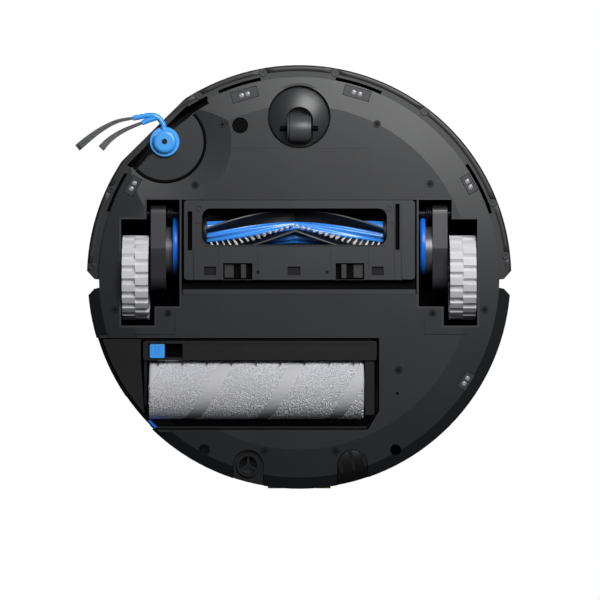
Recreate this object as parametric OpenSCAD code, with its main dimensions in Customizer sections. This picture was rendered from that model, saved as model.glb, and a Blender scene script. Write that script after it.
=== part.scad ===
// Round robot vacuum with a roller mop, standing on two drive wheels and a front caster.
// +Z is up, the front faces -Y, and the origin is on the floor under the middle of the body.
// "left" and "right" are the robot's own sides: right is -X, left is +X.

/* [Body] */
// Outer radius of the housing
body_r = 174.8; // [174.2:0.1:175]
// Outer radius of the bumper
bumper_r = 175.3; // [175:0.1:175.6]
// Height of the top deck above the floor
top_z = 82; // [81.5:0.1:83]
// Height of the flat underside above the floor
base_z = 11; // [10.6:0.1:11.4]
// Thickness of the chassis plate
plate_t = 3; // [2.6:0.1:3.2]
// Wall thickness of the outer shells
wall_t = 2.5; // [2.2:0.1:2.8]

/* [Drive wheels] */
// Radius over the tread lugs
wheel_r = 35; // [34:0.1:35.2]
// Width of a tyre
tyre_w = 21.6; // [20:0.1:21.8]
// Distance from the middle plane to the middle of a tyre
wheel_x = 135.2; // [134.8:0.1:135.4]
// Lugs in each of the two rows of the tread
lug_count = 20; // [16:1:22]
// Depth of the tread lugs
lug_depth = 2.6; // [1.5:0.1:3]

/* [Caster] */
// Radius of the caster wheel
caster_r = 11.75; // [11:0.05:12]
// Width of the caster wheel
caster_w = 19.6; // [16:0.1:20]
// Distance of the axle behind the swivel
caster_trail = 9.6; // [8:0.1:10]

/* [Main brush] */
// Radius over the rubber blades
blade_r = 18.5; // [17:0.1:18.7]
// Radius of the brush core
brush_core_r = 10; // [9:0.1:11]
// Twist of the blades from the middle to each end, in degrees
blade_twist = 80; // [60:1:90]

/* [Roller mop] */
// Radius of the mop roller with its fabric
roller_r = 25; // [24:0.1:25.1]
// Thickness of the fabric sleeve
sleeve_t = 4; // [3:0.1:5]
// Pitch of the comb teeth
comb_pitch = 20.1; // [18:0.1:20.4]

/* [Turret] */
// Height of the top of the turret
turret_z = 98; // [96:0.1:100]
// Radius of the turret cap
turret_r = 41; // [40:0.1:42]

/* [Hidden] */
$fn = 96;
clear = 0.3;
run_fit = 0.05;
plate_top = base_z + plate_t;
flat_r = 142;
lip_r = 165.2;
lip_z = base_z + 1.6;
seam_z = 26;
bumper_top = 74;
wall_in_r = 158.4;
wall_out_r = 160.4;
deck_z = 77;
rim_a = 3;
dark = "#2b2d30";
black = "#141517";
blue = "#3f8ff0";
steel = "#b9bcc0";

// drive wheels and their swing arms
well_in_x = 98.6;
well_mid_x0 = 119.2;
well_mid_x1 = 125.9;
well_out_x = 146.9;
well_y = [-64, -48, 24, 39.8];
frame_t = 1.6;
frame_top = 73.5;
pivot_y = -53;
pivot_z = 28;
pivot_r = 2.5;
arm_x = [110.2, 122.8];
motor_at = [-22.4, 40];
motor_r = 20;
cap_at = [-26.4, 40];
cap_r = 24.8;
hub_r = 29;
axle_r = 4;

// caster
caster_y = -132.3;
caster_axle_y = caster_y + caster_trail;
swivel_r = 24.5;
socket_r = 26;
socket_top = 30;
stem_r = 4;
caster_axle_r = 2.2;

// side brush
side_hub = [-110.8, -111.8];
disc_r = 31.5;
groove_r = 34.4;
hub_z = 7;
arm_tube_r = 2.35;
shaft_r = 3;
arm_path = [[-111.2, -119.5], [-111.8, -125.6], [-114.8, -130.6], [-119.2, -133.2], [-126.3, -133.2],
    [-136.8, -131.2]];
arm_branch = [[-118.3, -131.2], [-124.1, -129.4], [-129.5, -127.3]];
tuft_long = [[-136.2, -131.2], [-148.4, -129], [-159.5, -123.9], [-170.5, -116.4], [-183.4, -105.6]];
tuft_short = [[-129.1, -127.5], [-144.7, -120.9], [-155.8, -113.6], [-163.6, -105.2]];
// the flat beside the side brush: direction, distance on the chassis and on the bumper
chord_a = 225.35;
plate_d = 157.8;
chord_d = 171.2;

// main brush bay
bay_x = 96.4;
bay_y = [-64, 14];
brush_y = -37;
brush_z = 24.5;
brush_x = [-76.8, 70.2];
chamber_r = 19.3;
mouth_x = [-79.9, 72.3];
mouth_y = [-56.8, -26.8];
guard_z = [7, 11];
window_y = [-11.7, 1.8];
window_r = [-62.6, -38.6];
window_l = [30.1, 53.6];
suction_x = 38;
suction_y = [-47, -35];

// mop bay
mop_y = [50, 125.7];
mop_x = 66;
mop_corner = [[66, 110.3], [56.7, 125.7]];
bay_top = 60.5;
roller_y = 92.5;
roller_z = 26;
roller_x = [-123.9, 53.7];
cover_r = [167.4, 170];
cover_top = 44;
comb_x = [-128.6, 64];
comb_y = [52.4, 68.4];
comb_z = [10, 17];
slot_x = [-124.6, -96.2];
slot_y = [54.7, 67];

// fasteners and sensors
chassis_screw_at = [[-63.2, -126.3], [64.2, -126.4], [-85.9, -76.1], [108, -77], [-151.5, 26.8],
    [-108.2, 29.8], [110, 29.8], [153, 26.8], [82.1, 76.5], [-28.9, 143.7], [30.2, 143.7]];
deep_hole_at = [[-78.3, 142.3], [79.6, 142.3]];
lug_a = [183, 205, 241, 260, 280, 307, 339, 354];
slot_a = [[199, 211], [236.4, 243], [246.5, 259], [280.5, 294], [326, 341.5]];
// each cliff sensor: place, turn, length, width
cliff_at = [[-45, -150.8, -16, 21.6, 8.4], [47.7, -152, 16, 21.6, 8.4], [-137.2, -75.5, -61, 15.4, 7.8],
    [140.1, -76.9, 61, 15.4, 7.8], [137.6, 85.4, -58, 15, 7.8]];
carpet_at = [-48.7, -125.3];
drain_at = [-42, 155];
plug_at = [44.1, 155];
port_r = 12.7;
contact_x = 20;
turret_y = 70;
button_at = [-72, 62];
bin_x = [-88, 60];
bin_y = [-62, 11];

// ---- shared shapes ----

function arc(c, r, a0, a1, n = 6) =
    [for (i = [0:n]) let (a = a0 + (a1 - a0) * i / n) [c[0] + r * cos(a), c[1] + r * sin(a)]];

function round_rect(x, y, r) = concat(
    arc([x[1] - r, y[0] + r], r, -90, 0), arc([x[1] - r, y[1] - r], r, 0, 90),
    arc([x[0] + r, y[1] - r], r, 90, 180), arc([x[0] + r, y[0] + r], r, 180, 270));

module box(x, y, z) {
    translate([x[0], y[0], z[0]])
        cube([x[1] - x[0], y[1] - y[0], z[1] - z[0]]);
}

module slab(points, z) {
    translate([0, 0, z[0]])
        linear_extrude(z[1] - z[0])
            polygon(points);
}

module post(at, r, z) {
    translate([at[0], at[1], z[0]])
        cylinder(r = r, h = z[1] - z[0]);
}

// cylinder along X through the point [y, z]
module bar_x(at, r, x) {
    translate([x[0], at[0], at[1]])
        rotate([0, 90, 0])
            cylinder(r = r, h = x[1] - x[0]);
}

// part of a turned ring between two angles
module sector(a0, a1, points) {
    rotate([0, 0, a0])
        rotate_extrude(angle = a1 - a0)
            polygon(points);
}

function ring_section(r, z) = [[r[0], z[0]], [r[1], z[0]], [r[1], z[1]], [r[0], z[1]]];

module on_side(s) {
    if (s < 0)
        mirror([1, 0, 0])
            children();
    else
        children();
}

// round-ended bars along a row of points, all at height z
module level_tube(points, r, z) {
    for (i = [0:len(points) - 2])
        hull()
            for (p = [points[i], points[i + 1]])
                translate([p[0], p[1], z])
                    sphere(r = r, $fn = 20);
}

// wedge between the bumper's end and the rear skirt, on both sides
module side_notches(z) {
    for (s = [-1, 1])
        on_side(s)
            slab([[167.2, 1.5], [169, 1.5], [181, -12], [181, 22], [169, 9.2], [167.2, 9.2]], z);
}

function well_points(d) = [
    [well_in_x - d, well_y[0] - d], [well_mid_x1 + d, well_y[0] - d], [well_mid_x1 + d, well_y[1] - d],
    [well_out_x + d, well_y[1] - d], [well_out_x + d, well_y[3] + d], [well_mid_x0 - d, well_y[3] + d],
    [well_mid_x0 - d, well_y[2] + d], [well_in_x - d, well_y[2] + d]];

function mop_bay(d) = [
    [-190, mop_y[0] - d], [mop_x + d, mop_y[0] - d], [mop_corner[0][0] + d, mop_corner[0][1] + d / 2],
    [mop_corner[1][0] + d / 2, mop_corner[1][1] + d], [-190, mop_y[1] + d]];

// ---- chassis and housing ----

module chassis_blank() {
    // front part with its lip, and rear part with its rim
    sector(180 - rim_a, 360 + rim_a, [[0, base_z], [flat_r, base_z], [lip_r, lip_z], [lip_r, lip_z + 1.2],
        [flat_r, plate_top], [0, plate_top]]);
    sector(rim_a, 180 - rim_a, [[0, base_z], [flat_r, base_z], [lip_r, lip_z], [body_r, lip_z + 6.6],
        [body_r, seam_z], [body_r - wall_t, seam_z], [body_r - wall_t, lip_z + 8], [lip_r - 3, lip_z + 3],
        [flat_r, plate_top], [0, plate_top]]);
    sector(178, 362, ring_section([wall_in_r, wall_out_r], [plate_top - 1, seam_z]));
    // caster socket, kept inside the front wall
    post([0, caster_y], socket_r + 2, [plate_top - 2, seam_z - 0.4]);
    intersection() {
        post([0, caster_y], socket_r + 2, [seam_z - 2, socket_top + 2]);
        post([0, 0], wall_in_r - 0.3, [0, 60]);
    }
    post([0, caster_y], 8, [socket_top, 42]);
    intersection() {
        difference() {
            slab(mop_bay(2), [plate_top - 1, bay_top + 2]);
            slab(mop_bay(0), [base_z - 1, bay_top]);
        }
        post([0, 0], body_r - wall_t - 0.3, [0, 80]);
    }
}

module port_outline(at, r, z) {
    post(at, r, z);
    box([at[0] - r, at[0] + r], [at[1], 182], z);
}

module chassis_openings() {
    for (s = [-1, 1])
        on_side(s)
            slab(well_points(frame_t), [0, 80]);
    box([-bay_x - 1, bay_x + 1], bay_y, [0, 20]);
    slab(mop_bay(0), [0, bay_top]);
    post([0, caster_y], socket_r, [0, socket_top]);
    post([0, caster_y], stem_r + run_fit, [socket_top - 1, 43]);
    // shallow cone and round seat of the side brush, with the flat beside it
    translate([side_hub[0], side_hub[1], base_z - 0.5])
        cylinder(r1 = 61, r2 = groove_r, h = 2.2);
    post(side_hub, groove_r, [0, plate_top - 0.9]);
    post(side_hub, 5.6, [0, 60]);
    rotate([0, 0, chord_a])
        box([plate_d, 200], [-34, 34], [0, 20]);
    sector(234, 242.6, ring_section([161.4, 170], [0, 20]));
}

module chassis_details() {
    for (c = cliff_at)
        translate([c[0], c[1], 0])
            rotate([0, 0, c[2]])
                box([-c[3] / 2 - 0.4, c[3] / 2 + 0.4], [-c[4] / 2 - 0.4, c[4] / 2 + 0.4], [0, 30]);
    post(carpet_at, 6.6, [0, 20]);
    for (p = chassis_screw_at) {
        post(p, 3.1, [0, plate_top - 1]);
        post(p, 1.5, [0, 20]);
    }
    for (p = deep_hole_at)
        post(p, 4.5, [0, 20]);
    post([80.9, 95.7], 1.1, [0, 20]);
    port_outline(drain_at, port_r, [0, seam_z + 1]);
    port_outline(plug_at, port_r, [0, seam_z + 1]);
    // label recess and the seams of the wheel module covers
    box([-54.5, 56.8], [-106.6, -68], [0, base_z + 0.4]);
    for (s = [-1, 1])
        on_side(s) {
            box([102.4, 103.2], [24, 47.6], [0, base_z + 0.7]);
            box([102.4, 170], [47, 47.8], [0, base_z + 0.7]);
        }
}

module lower_chassis() {
    color(dark)
        difference() {
            chassis_blank();
            chassis_openings();
            chassis_details();
            side_notches([0, 80]);
        }
}

module housing_blank() {
    // rounded top edge all round, with the top plate
    rotate_extrude()
        polygon(concat([[body_r - wall_t, bumper_top + 0.5], [body_r, bumper_top + 0.5]],
            arc([body_r - 7.5, top_z - 7.5], 7.5, 0, 90, 8),
            [[0, top_z], [0, top_z - wall_t], [body_r - 8, top_z - wall_t], [body_r - 4, top_z - 4]]));
    sector(rim_a, 180 - rim_a, ring_section([body_r - wall_t, body_r], [seam_z, bumper_top + 0.6]));
    sector(178, 362, ring_section([wall_in_r, wall_out_r], [seam_z, top_z - 1]));
    intersection() {
        post([0, 0], wall_in_r + 1, [bumper_top + 0.5, top_z - 1]);
        box([-170, 170], [-170, 16.5], [bumper_top + 0.5, top_z - 1]);
    }
    // lip over the bumper's flat beside the side brush
    intersection() {
        rotate([0, 0, chord_a])
            box([chord_d - 2, chord_d + 1], [-45, 45], [bumper_top + 0.5, top_z - 2.8]);
        post([0, 0], body_r - 1, [0, 90]);
    }
    // turret base and its guide posts
    post([0, turret_y], turret_r, [top_z - 1, top_z + 2.5]);
    for (a = [45:90:315])
        post([37 * cos(a), turret_y + 37 * sin(a)], 3.2, [top_z, top_z + 8]);
}

module upper_housing() {
    color(dark)
        difference() {
            housing_blank();
            intersection() {
                post([0, 0], wall_in_r - 0.2, [deck_z, top_z + 1]);
                box([-170, 170], [-170, 14.4], [deck_z, top_z + 1]);
            }
            slab(round_rect([bin_x[0] - 0.8, bin_x[1] + 0.8], [bin_y[0] - 0.8, bin_y[1] + 0.8], 5),
                [70, 90]);
            post([0, turret_y], 33, [top_z - 5, top_z + 10]);
            for (a = [45:90:315])
                post([37 * cos(a), turret_y + 37 * sin(a)], 1.6, [top_z + 1, top_z + 9]);
            post(button_at, 8.6, [70, 90]);
            // the mop slides out under the skirt on the right side, and its lifted end needs more height
            box([-190, -118], [99, 123], [cover_top, 53.5]);
            difference() {
                box([-190, -90], [mop_y[0], mop_y[1]], [seam_z - 1, cover_top + 0.6]);
                post([0, 0], 150, [0, 90]);
            }
            post(side_hub, 5.6, [plate_top, 60]);
            for (s = [-1, 1])
                box([s * contact_x - 6.2, s * contact_x + 6.2], [160, 180], [31.8, 40.2]);
            port_outline(drain_at, port_r, [seam_z - 1, seam_z]);
            beyond_chord([70, 90]);
            side_notches([0, 90]);
        }
}

module top_cover() {
    color(dark)
        difference() {
            intersection() {
                rotate_extrude()
                    polygon([[0, deck_z + clear], [wall_in_r - 0.8, deck_z + clear],
                        [wall_in_r - 0.8, top_z - 0.6], [wall_in_r - 1.4, top_z], [0, top_z]]);
                box([-170, 170], [-170, 13.9], [70, 90]);
            }
            intersection() {
                post([0, 0], wall_in_r - 3, [70, top_z - 2.2]);
                box([-170, 170], [-170, 11.9], [70, top_z - 2.2]);
            }
        }
}

module power_button() {
    color(black) {
        post(button_at, 8.2, [top_z - 2.4, top_z - 0.2]);
        post(button_at, 3, [top_z - 10, top_z - 2.4]);
    }
}

module lidar_rotor() {
    color(black)
        difference() {
            union() {
                post([0, turret_y], 30, [top_z + 1, top_z + 8]);
                post([0, turret_y], 12, [top_z - 14, top_z + 1.1]);
            }
            translate([0, turret_y, 0]) {
                box([-16, -4], [-32, -18], [top_z + 3, top_z + 7]);
                box([4, 16], [-32, -18], [top_z + 3, top_z + 7]);
            }
        }
}

module lidar_cap() {
    color(dark)
        translate([0, turret_y, 0]) {
            rotate_extrude()
                polygon(concat([[0, turret_z - 5.5], [turret_r, turret_z - 5.5]],
                    arc([turret_r - 4, turret_z - 4], 4, 0, 90), [[0, turret_z]]));
            for (a = [45:90:315])
                post([37 * cos(a), 37 * sin(a)], 1.5, [top_z + 3.5, turret_z - 5.5]);
        }
}

// ---- bumper ----

module beyond_chord(z) {
    rotate([0, 0, chord_a])
        box([chord_d, 200], [-60, 60], z);
}

module bumper_shell() {
    color(dark)
        union() {
            round_bumper();
            // flat wall beside the side brush
            intersection() {
                rotate([0, 0, chord_a])
                    box([chord_d - 2, chord_d], [-60, 60], [24, bumper_top - 0.4]);
                post([0, 0], bumper_r - 1, [0, 90]);
            }
        }
}

module round_bumper() {
    color(dark)
        difference() {
            sector(179.4, 360.6, concat([[170.7, base_z + 3]], [[bumper_r - 2, base_z + 2.9]],
                arc([bumper_r - 2, base_z + 4.9], 2, -90, 0, 4),
                [[bumper_r, bumper_top - 1], [bumper_r - 0.6, bumper_top], [bumper_r - wall_t, bumper_top],
                    [bumper_r - wall_t, base_z + 4.1], [170.7, base_z + 4.1]]));
            for (a = lug_a)
                rotate([0, 0, a])
                    post([171.5, 0], 3.5, [0, base_z + 4.2]);
            sector(240, 314, ring_section([bumper_r - 1.1, bumper_r + 2], [42, 60]));
            beyond_chord([0, 90]);
            side_notches([0, 90]);
        }
}

module bumper_inner_ring() {
    color(dark)
        difference() {
            union() {
                sector(179.4, 360.6,
                    ring_section([lip_r - 0.3, bumper_r - wall_t - 0.1], [base_z + 4.1, base_z + 6.1]));
                for (a = lug_a)
                    rotate([0, 0, a])
                        difference() {
                            post([171.5, 0], 3.1, [base_z + 3, base_z + 4.2]);
                            post([171.5, 0], 1, [0, base_z + 3.8]);
                        }
            }
            for (a = slot_a)
                sector(a[0], a[1], ring_section([160, 168], [0, 30]));
            difference() {
                sector(213, 237, ring_section([160, 169.4], [0, 30]));
                rotate([0, 0, chord_a])
                    box([166, 180], [-60, 60], [0, 40]);
            }
            beyond_chord([0, 30]);
            side_notches([0, 90]);
        }
}

module bumper_window() {
    color(black)
        sector(240.2, 313.8, ring_section([bumper_r - 1, bumper_r], [42.3, 59.7]));
}

module bumper_switches() {
    color(black)
        for (a = [246, 294])
            rotate([0, 0, a]) {
                box([wall_out_r + 0.02, 165.6], [-6, 6], [30, 38]);
                box([165.6, 167.6], [2, 4], [32, 36]);
            }
}

// ---- caster ----

module caster_swivel() {
    dome = 53;
    edge = asin(swivel_r / dome);
    color(black)
        difference() {
            union() {
                translate([0, caster_y, 0])
                    rotate_extrude()
                        polygon(concat(arc([0, base_z - 2.5 + dome], dome, -90, -90 + edge, 8),
                            [[swivel_r, 26], [0, 26]]));
                post([0, caster_y], 10, [25, socket_top - clear]);
                post([0, caster_y], stem_r, [26, 42]);
            }
            post([0, caster_y + 3.3], 11.4, [0, 24.4]);
            box([-11.4, 11.4], [caster_y + 3.3, caster_y + 30], [0, 24.4]);
            bar_x([caster_axle_y, caster_r], caster_axle_r + run_fit, [-15.6, 15.6]);
        }
}

module caster_wheel() {
    color(black)
        difference() {
            union() {
                bar_x([caster_axle_y, caster_r], caster_r, [-caster_w / 2 + 2, caster_w / 2 - 2]);
                bar_x([caster_axle_y, caster_r], caster_r - 1.6, [-caster_w / 2, caster_w / 2]);
            }
            bar_x([caster_axle_y, caster_r], caster_axle_r + run_fit, [-12, 12]);
        }
}

module caster_axle() {
    color(steel)
        bar_x([caster_axle_y, caster_r], caster_axle_r, [-15.5, 15.5]);
}

// ---- side brush ----

module side_brush_plate() {
    color(black)
        difference() {
            intersection() {
                post(side_hub, disc_r, [plate_top - 2, plate_top - 0.9]);
                rotate([0, 0, chord_a])
                    box([0, plate_d], [-60, 60], [0, 30]);
            }
            post(side_hub, 6, [0, 30]);
        }
}

module side_brush_motor() {
    color(black)
        union() {
            post(side_hub, 5.2, [plate_top + 0.2, plate_top + 8]);
            translate([side_hub[0], side_hub[1], 0])
                rotate([0, 0, 45])
                    box([1, 24], [-4, 4], [plate_top + 0.6, plate_top + 7.4]);
            post(side_hub + [17, 17], 11, [plate_top + 0.2, plate_top + 30]);
            post(side_hub, shaft_r, [hub_z + 1, plate_top + 1]);
        }
}

module side_brush_hub() {
    color(blue)
        difference() {
            union() {
                post(side_hub, 12.1, [hub_z + 0.6, hub_z + 3.6]);
                translate([side_hub[0], side_hub[1], 0])
                    rotate_extrude()
                        polygon(concat([[0, hub_z + 1], [9.9, hub_z + 1]], [[9.9, hub_z - 0.6]],
                            arc([6.9, hub_z - 0.6], 3, 0, -90, 4), [[0, hub_z - 3.6]]));
                level_tube(arm_path, arm_tube_r, hub_z);
                level_tube(arm_branch, arm_tube_r - 0.15, hub_z + 0.1);
            }
            post(side_hub, shaft_r + run_fit, [hub_z + 0.8, 20]);
            post(side_hub, 2.3, [0, hub_z - 2.6]);
            post(side_hub, 1.1, [0, hub_z + 2]);
            // square ends of the two arms
            end_block(arm_path, [0.1, 5], 2.5);
            end_block(arm_branch, [0.1, 5], 2.5);
        }
}

// block across the end of a row of points, placed along its last stretch
module end_block(points, reach, half_w) {
    last = points[len(points) - 1];
    way = last - points[len(points) - 2];
    translate([last[0], last[1], 0])
        rotate([0, 0, atan2(way[1], way[0])])
            box(reach, [-half_w, half_w], [-2, hub_z + 4]);
}

// flat bunch that widens and falls towards its tip
module tuft(points) {
    last = len(points) - 1;
    for (i = [0:last - 1])
        hull()
            for (j = [i, i + 1])
                translate([points[j][0], points[j][1], hub_z - 0.8 - 5.6 * j / last])
                    cylinder(r = 1.2 + 1.9 * j / last, h = 1.6 - 0.6 * j / last, $fn = 20);
}

module side_brush_bristles() {
    color("#6b6e72")
        difference() {
            union() {
                tuft(tuft_long);
                tuft(tuft_short);
            }
            // square tips, and square roots that meet the arms
            end_block(tuft_long, [0, 6], 5);
            end_block(tuft_short, [0, 6], 5);
            end_block(arm_path, [-4, 0.15], 2.2);
            end_block(arm_branch, [-4, 0.15], 2.2);
        }
}

module side_brush_screw() {
    color(black)
        union() {
            post(side_hub, 2.2, [hub_z - 3.9, hub_z - 2.6]);
            post(side_hub, 1.05, [hub_z - 3, hub_z + 0.7]);
        }
}

// ---- main brush ----

module brush_housing() {
    floor_z = guard_z[1] + 2;
    color(black)
        difference() {
            union() {
                box([-bay_x + 0.4, bay_x - 0.4], [bay_y[0] + 0.2, bay_y[1] - 0.2], [floor_z, 24]);
                box([-bay_x + 0.4, bay_x - 0.4], [bay_y[1] - 4, bay_y[1] - 0.2], [base_z + 0.2, floor_z + 1]);
                bar_x([brush_y, brush_z], chamber_r + 1.2, [-88, 82]);
                box([-suction_x - 2, suction_x + 2], [suction_y[0] - 2, suction_y[1] + 2], [36, 45.1]);
            }
            bar_x([brush_y, brush_z], chamber_r, [brush_x[0] - 3, brush_x[1] + 3]);
            box([brush_x[0] - 3, brush_x[1] + 3], [brush_y - chamber_r, brush_y + chamber_r], [0, brush_z]);
            bar_x([brush_y, brush_z], 4 + run_fit, [-86, 80]);
            box([-suction_x, suction_x], suction_y, [30, 50]);
            box([-100, 100], [bay_y[0] - 10, bay_y[1] - 4], [-5, floor_z]);
            box([-92, 92], [-16, 10.5], [floor_z + 2, 30]);
        }
}

module guard_window(x) {
    box(x, window_y, [0, 20]);
}

module brush_guard() {
    color(dark)
        difference() {
            union() {
                slab(round_rect([-94.8, 95.4], [-63.5, 2.1], 3), guard_z);
                slab(round_rect([84.3, 95], [-63, 1.7], 2.5), [guard_z[0] - 1.2, guard_z[0] + 1]);
                // slim ribs across the guard's rear bar
                for (x = [-66, -34, 26, 57])
                    box([x, x + 1.2], [-24, 1.8], [guard_z[0] - 0.6, guard_z[0] + 1]);
            }
            slab(round_rect(mouth_x, mouth_y, 7), [0, 20]);
            box([-91.9, -88.2], [-54.4, -22.2], [0, 20]);
            box([79.3, 82.8], [-60.5, -22.6], [0, 20]);
            // room for the blades over the mouth's rear lip, and the groove behind that lip
            bar_x([brush_y, brush_z], blade_r + 0.7, [-77, 70.4]);
            box([mouth_x[0] + 1, mouth_x[1] - 1], [-26.1, -24.7], [0, guard_z[0] + 0.9]);
            // steps at the mouth's ends and the seams of the end pieces
            box([-87.2, mouth_x[0] - 0.3], [-45, -27], [0, guard_z[0] + 0.8]);
            box([mouth_x[1] + 0.3, 78.3], [-45, -27], [0, guard_z[0] + 0.8]);
            box([-87.4, -86.8], [-22.8, 3], [0, guard_z[0] + 1]);
            box([78.4, 78.9], [-64, 3], [0, guard_z[0] + 1]);
            guard_window(window_r);
            guard_window(window_l);
            for (p = [[-82.9, -56.3], [73.8, -56.3]])
                difference() {
                    post(p, 2.6, [0, guard_z[0] + 1]);
                    post(p, 1.9, [0, guard_z[0] + 2]);
                }
            for (p = [[-34, -4.1], [23, -4.1]])
                post(p, 1.5, [0, guard_z[0] + 1]);
            for (x = [[-78.4, -68.5], [-9.6, 1], [59.8, 69.6]])
                box(x, [-8.8, -1.6], [0, guard_z[0] + 2]);
        }
}

module latch(bar_x0, plate) {
    color("#5a5d61") {
        box([bar_x0, bar_x0 + 4], [window_y[0] + 1, window_y[1] - 1.2],
            [guard_z[0] + 0.6, guard_z[1] + 0.4]);
        box(plate, [window_y[0] - 1.4, window_y[1] - 1], [guard_z[1] + clear, guard_z[1] + 1.6]);
    }
}

module guard_latch_right() {
    latch(-47.9, [-61.6, -42.8]);
}

module guard_latch_left() {
    latch(34.9, [33.8, 52.6]);
}

module brush_core() {
    color(blue)
        difference() {
            bar_x([brush_y, brush_z], brush_core_r, [brush_x[0] + 0.4, brush_x[1] - 0.4]);
            bar_x([brush_y, brush_z], 3.5, [brush_x[0] - 1, brush_x[1] + 1]);
        }
}

// a twisted half of the brush, from the middle out to one end
module twisted_half(s) {
    half = (brush_x[1] - brush_x[0]) / 2 - 0.6;
    translate([(brush_x[0] + brush_x[1]) / 2, brush_y, brush_z])
        on_side(s)
            rotate([0, 90, 0])
                linear_extrude(height = half, twist = -blade_twist, slices = 16, $fn = 8)
                    children();
}

// evenly spaced fins round the core, from r0 out to r1
module fins(count, turn, r0, r1, thick) {
    for (i = [0:count - 1])
        rotate(turn + i * 360 / count)
            translate([r0, -thick / 2])
                square([r1 - r0, thick]);
}

module brush_blades() {
    color(black)
        for (s = [-1, 1])
            twisted_half(s)
                fins(4, -4, brush_core_r + 0.02, blade_r, 1.6);
}

module brush_bristles() {
    color("#d8dade")
        for (s = [-1, 1])
            twisted_half(s)
                fins(2, -26, brush_core_r + 0.02, blade_r - 0.5, 1.8);
}

module brush_end_caps() {
    color(black)
        for (end = [[brush_x[0] - 2.4, 1], [brush_x[1] + 2.4, -1]]) {
            inner = end[0] + 2.8 * end[1];
            outer = end[0] - 4 * end[1];
            bar_x([brush_y, brush_z], 13.5, [min(end[0], inner), max(end[0], inner)]);
            bar_x([brush_y, brush_z], 4, [min(end[0], outer), max(end[0], outer)]);
            bar_x([brush_y, brush_z], 3.45, [min(inner, inner + 6 * end[1]), max(inner, inner + 6 * end[1])]);
        }
}

module brush_motor() {
    color(steel) {
        bar_x([-1.5, 38], 12, [64, 94]);
        box([84, 92], [-13, 4], [24.2, 32]);
    }
}

// ---- drive wheels ----

module wheel_frame(s) {
    color(black)
        on_side(s)
            difference() {
                slab(well_points(frame_t), [base_z + 0.4, frame_top]);
                slab(well_points(0), [0, frame_top - 2]);
                bar_x([pivot_y, pivot_z], pivot_r + run_fit, [well_in_x - 2, well_mid_x1 + 2]);
            }
}

module wheel_frame_right() {
    wheel_frame(-1);
}

module wheel_frame_left() {
    wheel_frame(1);
}

module swing_arm(s) {
    color(black)
        on_side(s)
            difference() {
                union() {
                    hull() {
                        bar_x([pivot_y, pivot_z], 7.5, arm_x, $fn = 32);
                        bar_x([-24, 38], 19, arm_x, $fn = 32);
                        bar_x([-2, wheel_r], 13, arm_x, $fn = 32);
                    }
                    bar_x([0, wheel_r], axle_r, [arm_x[1] - 1, wheel_x + 7]);
                }
                bar_x([pivot_y, pivot_z], pivot_r + run_fit, [arm_x[0] - 1, arm_x[1] + 1]);
            }
}

module swing_arm_right() {
    swing_arm(-1);
}

module swing_arm_left() {
    swing_arm(1);
}

module wheel_motor(s) {
    color("#8c8f94")
        on_side(s)
            bar_x(motor_at, motor_r, [104.4, arm_x[0]]);
}

module wheel_motor_right() {
    wheel_motor(-1);
}

module wheel_motor_left() {
    wheel_motor(1);
}

module motor_cover(s) {
    color(blue)
        on_side(s) {
            bar_x(cap_at, cap_r, [101, 104.4]);
            bar_x(cap_at, cap_r - 2, [100.2, 101]);
        }
}

module motor_cover_right() {
    motor_cover(-1);
}

module motor_cover_left() {
    motor_cover(1);
}

module wheel_hub(s) {
    color(black)
        on_side(s)
            difference() {
                bar_x([0, wheel_r], hub_r, [wheel_x - tyre_w / 2 + 0.8, wheel_x + tyre_w / 2 - 0.8]);
                bar_x([0, wheel_r], axle_r + run_fit, [wheel_x - tyre_w, wheel_x + 7.5]);
                difference() {
                    bar_x([0, wheel_r], hub_r - 3, [wheel_x - tyre_w, wheel_x + 2]);
                    bar_x([0, wheel_r], 9, [wheel_x - tyre_w, wheel_x + 3]);
                    for (a = [0:60:300])
                        translate([0, 0, wheel_r])
                            rotate([a, 0, 0])
                                box([wheel_x - 8, wheel_x + 3], [-1.2, 1.2], [8, hub_r]);
                }
            }
}

module wheel_hub_right() {
    wheel_hub(-1);
}

module wheel_hub_left() {
    wheel_hub(1);
}

// outline of one row of saw-tooth lugs
function tread_points(turn) = [for (i = [0:lug_count - 1]) let (a = turn + i * 360 / lug_count)
    for (p = [[0, -lug_depth], [1.5, 0], [10.5, -0.1], [14, -lug_depth]])
        (wheel_r + p[1]) * [cos(a + p[0] * 20 / lug_count), sin(a + p[0] * 20 / lug_count)]];

module tyre(s) {
    row_w = tyre_w / 2;
    color("#e4e5e7")
        on_side(s)
            translate([wheel_x - row_w, 0, wheel_r])
                rotate([0, 90, 0])
                    difference() {
                        union() {
                            linear_extrude(row_w)
                                polygon(tread_points(0));
                            translate([0, 0, row_w])
                                linear_extrude(row_w)
                                    polygon(tread_points(180 / lug_count));
                        }
                        translate([0, 0, -1])
                            cylinder(r = hub_r, h = tyre_w + 2);
                    }
}

module tyre_right() {
    tyre(-1);
}

module tyre_left() {
    tyre(1);
}

module pivot_pins() {
    color(steel)
        for (s = [-1, 1])
            on_side(s)
                bar_x([pivot_y, pivot_z], pivot_r, [well_in_x - 1, well_mid_x1 + 1]);
}

module suspension_springs() {
    turns = 3;
    wire_r = 0.75;
    color(steel)
        for (s = [-1, 1])
            on_side(s)
                translate([0, pivot_y, pivot_z])
                    union() {
                        for (i = [0:turns - 1])
                            translate([105.6 + i * 1.4, 0, 0])
                                rotate([0, 90, 0])
                                    rotate_extrude($fn = 48)
                                        translate([4.6, 0])
                                            circle(r = wire_r, $fn = 20);
                        translate([105.6, -4.6, -0.2])
                            cylinder(r = wire_r - 0.1, h = 16, $fn = 20);
                    }
}

// ---- roller mop ----

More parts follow.
